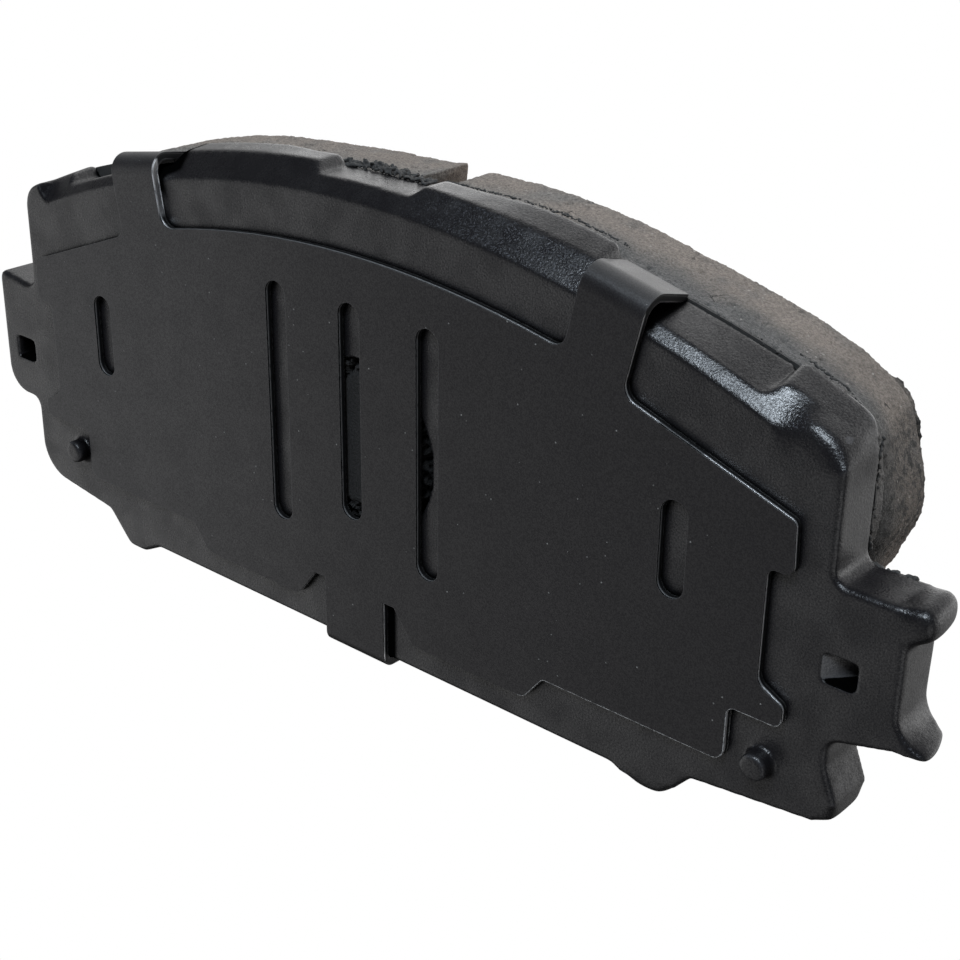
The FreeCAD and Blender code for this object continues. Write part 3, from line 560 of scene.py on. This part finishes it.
def underlayer_compound():
    """Moulded underlayer: grey at its flanks, with a black skin on the plug that is torn near its rim."""
    s = Shader("underlayer_compound")
    grains = grain_pattern(s)
    flank = s.mix(grains, (0.052, 0.050, 0.049), (0.145, 0.139, 0.134))
    inside = s.fade(s.at("Y"), 4.5, 3.5)
    rim = s.fade(s.off_plug(), HOLE_RADIUS - 1.2, HOLE_RADIUS)
    patchy = s.fade(s.noise(1.2, 3.0, 0.7), 0.44, 0.54)
    torn = s.times(rim, s.largest(patchy, s.fade(s.at("X"), 6.5, 7.5)))
    skin = s.mix(grains, (0.012, 0.012, 0.012), (0.030, 0.029, 0.029))
    # Torn rim: its pits are painted shade, nearly black.
    skin = s.mix(torn, skin, s.mix(grains, UNLIT, (0.014, 0.014, 0.014)))
    colour = s.mix(inside, flank, skin)
    gloss = s.fade(s.times(torn, inside), 0.0, 1.0, 0.24, 0.05)
    normal = s.bump(grains, 0.07)
    return s.finish(Base_Color=colour, Roughness=0.6, Specular_IOR_Level=gloss, Normal=normal)


def flash_compound():
    """Squeezed-out adhesive and compound."""
    s = Shader("flash_compound")
    colour = s.mix(s.noise(2.0, 5.0, 0.7), (0.010, 0.010, 0.010), (0.045, 0.043, 0.041))
    return s.finish(Base_Color=colour, Roughness=0.7, Normal=s.bump(s.noise(5.0, 4.0, 0.7), 0.05))


def dress(node, material):
    """Give a CAD node its one material."""
    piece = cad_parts[node]
    piece.data.materials.clear()
    piece.data.materials.append(material)
    return piece


# ------------------------------------------------------------------- shaping

PLATE_VOXEL = 0.22
COMPOUND_VOXEL = 0.2
FLASH_VOXEL = 0.07
CRUMB_VOXEL = 0.09


def remesh(piece, size_mm):
    """Rebuild a piece's surface with an even dense mesh."""
    modifier = piece.modifiers.new("dense", "REMESH")
    modifier.mode = "VOXEL"
    modifier.voxel_size = size_mm * MM
    modifier.use_smooth_shade = True


def arc_level(arc, along):
    """Level of an arc at a distance along the pad."""
    centre, radius = arc
    return centre + math.sqrt(radius ** 2 - along ** 2)


def arc_field(g, arc):
    """The same level, for every point of a mesh."""
    centre, radius = arc
    along = g.at("X")
    return g.plus(g.number("SQRT", g.minus(radius ** 2, g.times(along, along))), centre)


def up_to(g, edge):
    """1 at a top edge, fading to 0 a little below it."""
    return g.fade(g.minus(g.at("Z"), edge), -1.2, -0.3)


def ramp(g, start, length):
    """A straight rise from 0 to 1 over a length of the pad's depth."""
    return g.number("DIVIDE", g.minus(g.at("Y"), start), length, clamp=True)


def raise_rim(g):
    """The top edge rises towards the disc, and up to the lining's top in the right clip tab's notch."""
    along = g.at("X")
    notch = g.between(along, CLIP_NOTCH[0] - 0.4, CLIP_NOTCH[1] + 0.6, 1.0, 1.2)
    floor = arc_field(g, CLIP_NOTCH_ARC)
    lining = arc_field(g, LINING_ARC)
    in_notch = g.times(notch, up_to(g, floor), g.minus(lining, floor), ramp(g, 1.4, 4.0))
    right = g.times(g.fade(along, *RIM_SPAN), RIM_RISE)
    left = g.fade(along, -9.0, -14.0, 0.0, 0.3)
    elsewhere = g.times(up_to(g, arc_field(g, PLATE_ARC)), g.plus(right, left), ramp(g, 2.4, 3.0))
    g.shift(Z=g.plus(in_notch, elsewhere))


def taper_fork(g):
    """The ends of the forked ear draw in towards the disc side, and its hook droops."""
    level = g.at("Z")
    past = g.largest(g.minus(g.at("X"), FORK_START), 0.0)
    share = g.times(g.fade(g.at("Y"), 1.6, 5.6), g.fade(level, -9.0, -5.0, 0.30, 0.16))
    droop = g.times(g.near(*HOOK, 0.8, 3.4), g.fade(level, -12.6, -10.6, -0.5, -1.6))
    g.shift(X=g.times(past, share, -1.0), Z=droop)


def shape_plate(piece):
    """Thick paint softens every edge, and the plate's corners are worn round."""
    remesh(piece, PLATE_VOXEL)
    g = Shaping("soft_paint")
    g.smooth(3)
    raise_rim(g)
    taper_fork(g)
    fork_ends = g.largest(g.near(*PRONG, 1.4, 3.4), g.near(*HOOK_TIP, 1.0, 2.1))
    leg = g.times(g.near(*LEG, 0.8, 2.0), 0.5)
    lug = g.times(g.near(*LUG, 1.6, 3.0), 0.3)
    rear = g.fade(g.at("Y"), 1.0, 2.6, 1.0, 0.0)
    g.smooth(50, g.largest(fork_ends, leg, lug))
    g.smooth(110, g.times(g.near(*RIGHT_SHOULDER, 1.8, 3.8), rear))
    g.smooth(50, g.times(g.near(*LEFT_SHOULDER, 0.8, 2.4), rear))
    g.apply(piece)


def square_off(g, x, z):
    """Undo a rounding whose centre is at x, z, on its upper right side."""
    away = g.flat(g.vector("SUBTRACT", g.place, (x, 0.0, z)))
    along = g.part(away, "X")
    level = g.part(away, "Z")
    upper_right = g.times(g.number("GREATER_THAN", along, 0.0), g.number("GREATER_THAN", level, 0.0))
    stretch = g.number("DIVIDE", g.vector("LENGTH", away), g.largest(along, level, 0.3))
    g.push(away, g.times(g.minus(stretch, 1.0), upper_right))


def flank_push(g, amount):
    """Move the flanks outwards, across the pad."""
    across = g.flat(g.normal)
    flank = g.fade(g.vector("LENGTH", across), 0.2, 0.5)
    g.push(g.vector("NORMALIZE", across), g.times(amount, flank))


def trim_flanks(g):
    """The right flank is cut back at its top corner and swells below it."""
    depth = g.at("Y")
    corner = g.times(g.near(*FLANK_CORNER, 1.5, 8.0), g.fade(depth, 6.0, 12.0), -0.9)
    belly = g.times(g.near(*FLANK_BELLY, 2.0, 7.0), g.fade(depth, 6.0, 9.0), 0.7)
    flank_push(g, g.plus(corner, belly))


def crown_top(g):
    """The blocks' top stands higher on the left and right of the groove, and lower at the right shoulder."""
    along = g.at("X")
    right = g.times(g.between(along, 3.5, 30.0, 10.5, 8.0), 0.38)
    left = g.fade(along, -10.0, -28.0, 0.0, 0.6)
    crown = g.times(g.plus(right, left), g.fade(g.at("Z"), 14.0, 18.0))
    dip = g.times(g.near(*LINING_SHOULDER, 2.0, 5.0), 0.25)
    g.shift(Z=g.times(g.minus(crown, dip), g.fade(g.at("Y"), 7.0, 8.5)))


def crumble(g):
    """The disc-side rim is worn in places, and the flanks are granular and pitted."""
    worn = g.times(g.fade(g.at("Y"), 12.0, 13.5), g.fade(g.noise(0.5, 3.0, 0.6), 0.45, 0.6))
    mixed = g.add("ShaderNodeMix", {0: worn, 4: g.position, 5: g.blurred(3)}, data_type="VECTOR")
    g.set_points(Position=mixed.outputs[1])
    coarse = g.times(g.fade(g.noise(0.45, 3.0, 0.6), 0.3, 0.7), 0.08)
    fine = g.times(g.fade(g.noise(2.2, 3.0, 0.7), 0.3, 0.7), 0.10)
    pits = g.times(g.fade(g.cells(0.8), 0.12, 0.3, 1.0, 0.0), g.fade(g.noise(0.3, 2.0), 0.5, 0.6), 0.35)
    flank_push(g, g.times(g.plus(coarse, fine, pits), -1.0))


def shape_underlayer(piece):
    """The underlayer's flanks follow the blocks', and its plug is torn and sunk at the rim."""
    remesh(piece, COMPOUND_VOXEL)
    g = Shaping("crumble_" + piece.name)
    trim_flanks(g)
    crown_top(g)
    rim = g.fade(g.off_plug(), HOLE_RADIUS - 0.9, HOLE_RADIUS + 0.1)
    torn = g.fade(g.noise(1.2, 3.0, 0.7), 0.42, 0.56, 0.0, 1.3)
    g.shift(Y=g.times(rim, torn, g.fade(g.at("Y"), 4.0, 2.5)))
    crumble(g)
    g.apply(piece)


def shape_block(piece, square_corner=False):
    """A friction block sinks into the underlayer, and its corner at the groove can be made square."""
    remesh(piece, COMPOUND_VOXEL)
    g = Shaping("crumble_" + piece.name)
    g.shift(Y=g.fade(g.at("Y"), SEAM, SEAM + 0.5, -SEAM_OVERLAP, 0.0))
    trim_flanks(g)
    crown_top(g)
    if square_corner:
        square_off(g, *GROOVE_CORNER)
        g.shift(X=g.fade(g.at("X"), -3.0, 0.2, 0.0, GROOVE_CLOSING))
    crumble(g)
    g.apply(piece)


# ------------------------------------------------------------- loose details

def add_lumps(name, spots, material, size_mm):
    """One piece of small irregular lumps, each spot being a place and a radius in millimetres."""
    mesh = bmesh.new()
    for place, radius in spots:
        centre = Vector(place) * MM
        squash = Vector([random.uniform(0.7, 1.3) for _ in range(3)])
        turn = Euler([random.uniform(0, math.tau) for _ in range(3)]).to_matrix().to_4x4()
        pose = Matrix.Translation(centre) @ turn @ Matrix.Diagonal((*squash, 1.0))
        lump = bmesh.ops.create_icosphere(mesh, subdivisions=1, radius=radius * MM, matrix=pose)
        for vertex in lump["verts"]:
            vertex.co = centre + (vertex.co - centre) * random.uniform(0.75, 1.2)
    data = bpy.data.meshes.new(name)
    mesh.to_mesh(data)
    mesh.free()
    data.materials.append(material)
    piece = bpy.data.objects.new(name, data)
    bpy.context.scene.collection.objects.link(piece)
    remesh(piece, size_mm)
    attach(piece, "root")


def top_level(along):
    """Level of the pad's top edge where plate and lining meet, notches included."""
    lining = arc_level(LINING_ARC, along)
    if MIDDLE_NOTCH[0] < along < MIDDLE_NOTCH[1]:
        return arc_level(MIDDLE_NOTCH_ARC, along)
    if CLIP_NOTCH[0] < abs(along) < CLIP_NOTCH[1]:
        return max(lining, arc_level(CLIP_NOTCH_ARC, along))
    start, end = RIM_SPAN
    rise = RIM_RISE * min(max((along - start) / (end - start), 0.0), 1.0)
    return max(lining, min(arc_level(PLATE_ARC, along) + rise, PLATE_TOP))


def seam_level(along):
    """Level of the flash line: the top edge, then falling away round the right shoulder."""
    shoulder = 47.5
    if along < shoulder:
        return top_level(along)
    return top_level(shoulder) - 0.45 * (along - shoulder) ** 1.45


def boundary_spots():
    """A ragged line of flash where plate and moulding meet, along the top and down the right side."""
    spots = []
    along = -25.0
    while along < 50.5:
        lift = random.uniform(-0.08, 0.03) if along > MIDDLE_NOTCH[1] - 0.4 else random.uniform(-0.5, -0.2)
        radius = random.uniform(0.06, 0.15)
        depth = random.gauss(5.7, 0.10)
        spots.append(((along, depth, seam_level(along) + lift - 0.5 * radius), radius))
        along += random.uniform(0.05, 0.17)
    level = 10.5
    while level > 0.6:
        radius = random.uniform(0.10, 0.22)
        side = PLATE_SIDE - 0.15 + random.uniform(-0.1, 0.05)
        depth = random.uniform(5.4, 5.9)
        spots.append(((side, depth, level), radius))
        level -= random.uniform(0.12, 0.3)
    return spots


def recess_spots():
    """A crumbly heap of flash in the middle notch, highest at its middle."""
    spots = []
    middle = -1.5
    half_width = 6.2
    for _ in range(330):
        along = random.uniform(-7.6, 4.6)
        height = abs(random.gauss(0.0, 0.28))
        radius = random.uniform(0.10, 0.25)
        heap = height * math.cos((along - middle) / half_width * 1.4)
        level = min(top_level(along) + heap, PLATE_TOP + 0.1 - radius)
        spots.append(((along, random.uniform(5.0, 6.6), level), radius))
    return spots


def crumb_spots():
    """Beads of compound left along the forked ear's disc side."""
    spots = []
    along = PLATE_SIDE - 0.1
    while along < 56.2:
        radius = random.uniform(0.20, 0.36)
        depth = random.uniform(5.2, 5.45)
        level = EAR_TOP + random.uniform(-0.1, 0.1)
        spots.append(((along, depth, level), radius))
        along += random.uniform(0.3, 0.6)
    return spots


paint = plate_paint()
rubber = shim_rubber()
steel = shim_steel()
friction = friction_compound()
compound = underlayer_compound()
flash = flash_compound()
shape_plate(dress("backing_plate", paint))
dress("adhesive_film", flash)
shape_underlayer(dress("underlayer", compound))
shape_block(dress("friction_block_left", friction), square_corner=True)
shape_block(dress("friction_block_right", friction))
dress("shim_inner_coat", rubber)
dress("shim_core", steel)
dress("shim_outer_coat", rubber)
add_lumps("boundary_flash", boundary_spots(), flash, FLASH_VOXEL)
add_lumps("recess_flash", recess_spots(), flash, CRUMB_VOXEL)
add_lumps("ear_crumbs", crumb_spots(), flash, CRUMB_VOXEL)


# -------------------------------------------------------------------- studio

CAMERA_TARGET = Vector((16.396, -0.8, -1.967)) * MM
CAMERA_DISTANCE = 156.09 * MM
CAMERA_AZIMUTH = math.radians(40.575)
CAMERA_ELEVATION = math.radians(24.947)
CAMERA_ROLL = math.radians(0.824)
CAMERA_LENS = 65.08
CAMERA_SENSOR = 36.0
LAMP_DIRECTION = (0.13, -0.56, 0.81)
LAMP_DISTANCE = 0.7
LAMP_WIDTH = 0.25
LAMP_HEIGHT = 0.24
LAMP_POWER = 4.9
LAMP_TINT = (0.80, 0.90, 1.0)
FLOOR_REACH = 4.0
FLOOR_GAP = 0.002


def camera_axes():
    """Right, up and back directions of the camera."""
    back = Vector((
        math.sin(CAMERA_AZIMUTH) * math.cos(CAMERA_ELEVATION),
        -math.cos(CAMERA_AZIMUTH) * math.cos(CAMERA_ELEVATION),
        math.sin(CAMERA_ELEVATION),
    ))
    right = Vector((math.cos(CAMERA_AZIMUTH), math.sin(CAMERA_AZIMUTH), 0.0))
    up = back.cross(right)
    cosine = math.cos(CAMERA_ROLL)
    sine = math.sin(CAMERA_ROLL)
    return right * cosine + up * sine, up * cosine - right * sine, back


def make_camera():
    """The camera, at the angle from which the object is best known."""
    data = bpy.data.cameras.new("camera")
    data.lens = CAMERA_LENS
    data.sensor_width = CAMERA_SENSOR
    data.clip_start = 0.01
    data.clip_end = 20.0
    camera = bpy.data.objects.new("camera", data)
    bpy.context.scene.collection.objects.link(camera)
    right, up, back = camera_axes()
    turn = Matrix((right, up, back)).transposed()
    camera.matrix_world = Matrix.Translation(CAMERA_TARGET + back * CAMERA_DISTANCE) @ turn.to_4x4()
    bpy.context.scene.camera = camera


def floor_glow():
    """White from above and clear from below."""
    s = Shader("floor")
    glow = s.add("ShaderNodeEmission", {"Color": (1.0, 1.0, 1.0), "Strength": 1.0}).outputs[0]
    clear = s.tree.nodes.new("ShaderNodeBsdfTransparent").outputs[0]
    seen = s.add("ShaderNodeMixShader", {0: s.geometry.outputs["Backfacing"], 1: glow, 2: clear}).outputs[0]
    s.connect(s.tree.nodes["Material Output"].inputs["Surface"], seen)
    return s.material


def make_floor():
    """A plain pale floor that lights nothing, so the surroundings alone do."""
    level = cad_low.z - FLOOR_GAP
    corners = [(-1, -1), (1, -1), (1, 1), (-1, 1)]
    mesh = bpy.data.meshes.new("floor")
    mesh.from_pydata([(x * FLOOR_REACH, y * FLOOR_REACH, level) for x, y in corners], [], [(0, 1, 2, 3)])
    mesh.materials.append(floor_glow())
    floor = bpy.data.objects.new("floor", mesh)
    bpy.context.scene.collection.objects.link(floor)
    floor.visible_diffuse = False
    floor.visible_glossy = False
    floor.visible_transmission = False
    floor.visible_shadow = False


class Sky(Graph):
    """The studio's surroundings, as a brightness for every direction."""

    def __init__(self):
        world = bpy.data.worlds.new("studio")
        bpy.context.scene.world = world
        world.use_nodes = True
        self.tree = world.node_tree
        self.place = self.tree.nodes.new("ShaderNodeTexCoord").outputs["Generated"]

    def panel(self, direction, edge, centre, strength):
        """A round soft panel: its cosine to the direction runs from edge to centre."""
        aim = Vector(direction).normalized()
        return self.fade(self.vector("DOT_PRODUCT", self.place, aim), edge, centre, 0.0, strength)

    def finish(self, strength):
        """Light with this strength; the camera itself sees white."""
        camera = self.tree.nodes.new("ShaderNodeLightPath").outputs["Is Camera Ray"]
        background = self.tree.nodes["Background"]
        self.connect(background.inputs["Color"], (1.0, 1.0, 1.0))
        self.connect(background.inputs["Strength"], self.largest(strength, camera))


def make_sky():
    """A bright wall behind the pad, dim panels low on the left, front and right, and dark elsewhere."""
    sky = Sky()
    along = sky.at("X")
    height = sky.at("Z")
    tilt = sky.plus(height, sky.times(along, 0.3))
    wall = sky.times(
        sky.fade(sky.at("Y"), 0.02, 0.50),
        sky.fade(along, -0.81, -0.67, 0.25, 1.0),
        sky.fade(height, 0.1, 1.0, 1.9, 1.1),
        sky.fade(height, -0.5, 0.1, 0.25, 1.0),
        sky.fade(tilt, -0.85, -0.35),
    )
    table = sky.panel((-0.92, -0.40, -0.28), 0.80, 0.99, 0.85)
    apron = sky.panel((-0.25, -0.75, -0.62), 0.80, 0.98, 0.45)
    side = sky.panel((0.72, -0.55, -0.40), 0.86, 0.97, 0.85)
    darkness = 0.05
    sky.finish(sky.plus(darkness, wall, table, apron, side))


def make_lamp():
    """A soft rectangular lamp above and in front, that faces the pad."""
    data = bpy.data.lights.new("overhead", "AREA")
    data.shape = "RECTANGLE"
    data.size = LAMP_WIDTH
    data.size_y = LAMP_HEIGHT
    data.energy = LAMP_POWER
    data.color = LAMP_TINT
    lamp = bpy.data.objects.new("overhead", data)
    bpy.context.scene.collection.objects.link(lamp)
    back = Vector(LAMP_DIRECTION).normalized()
    lamp.location = back * LAMP_DISTANCE
    lamp.rotation_euler = back.to_track_quat("Z", "Y").to_euler()


make_camera()
make_floor()
make_sky()
make_lamp()
bpy.context.scene.view_settings.view_transform = "Standard"
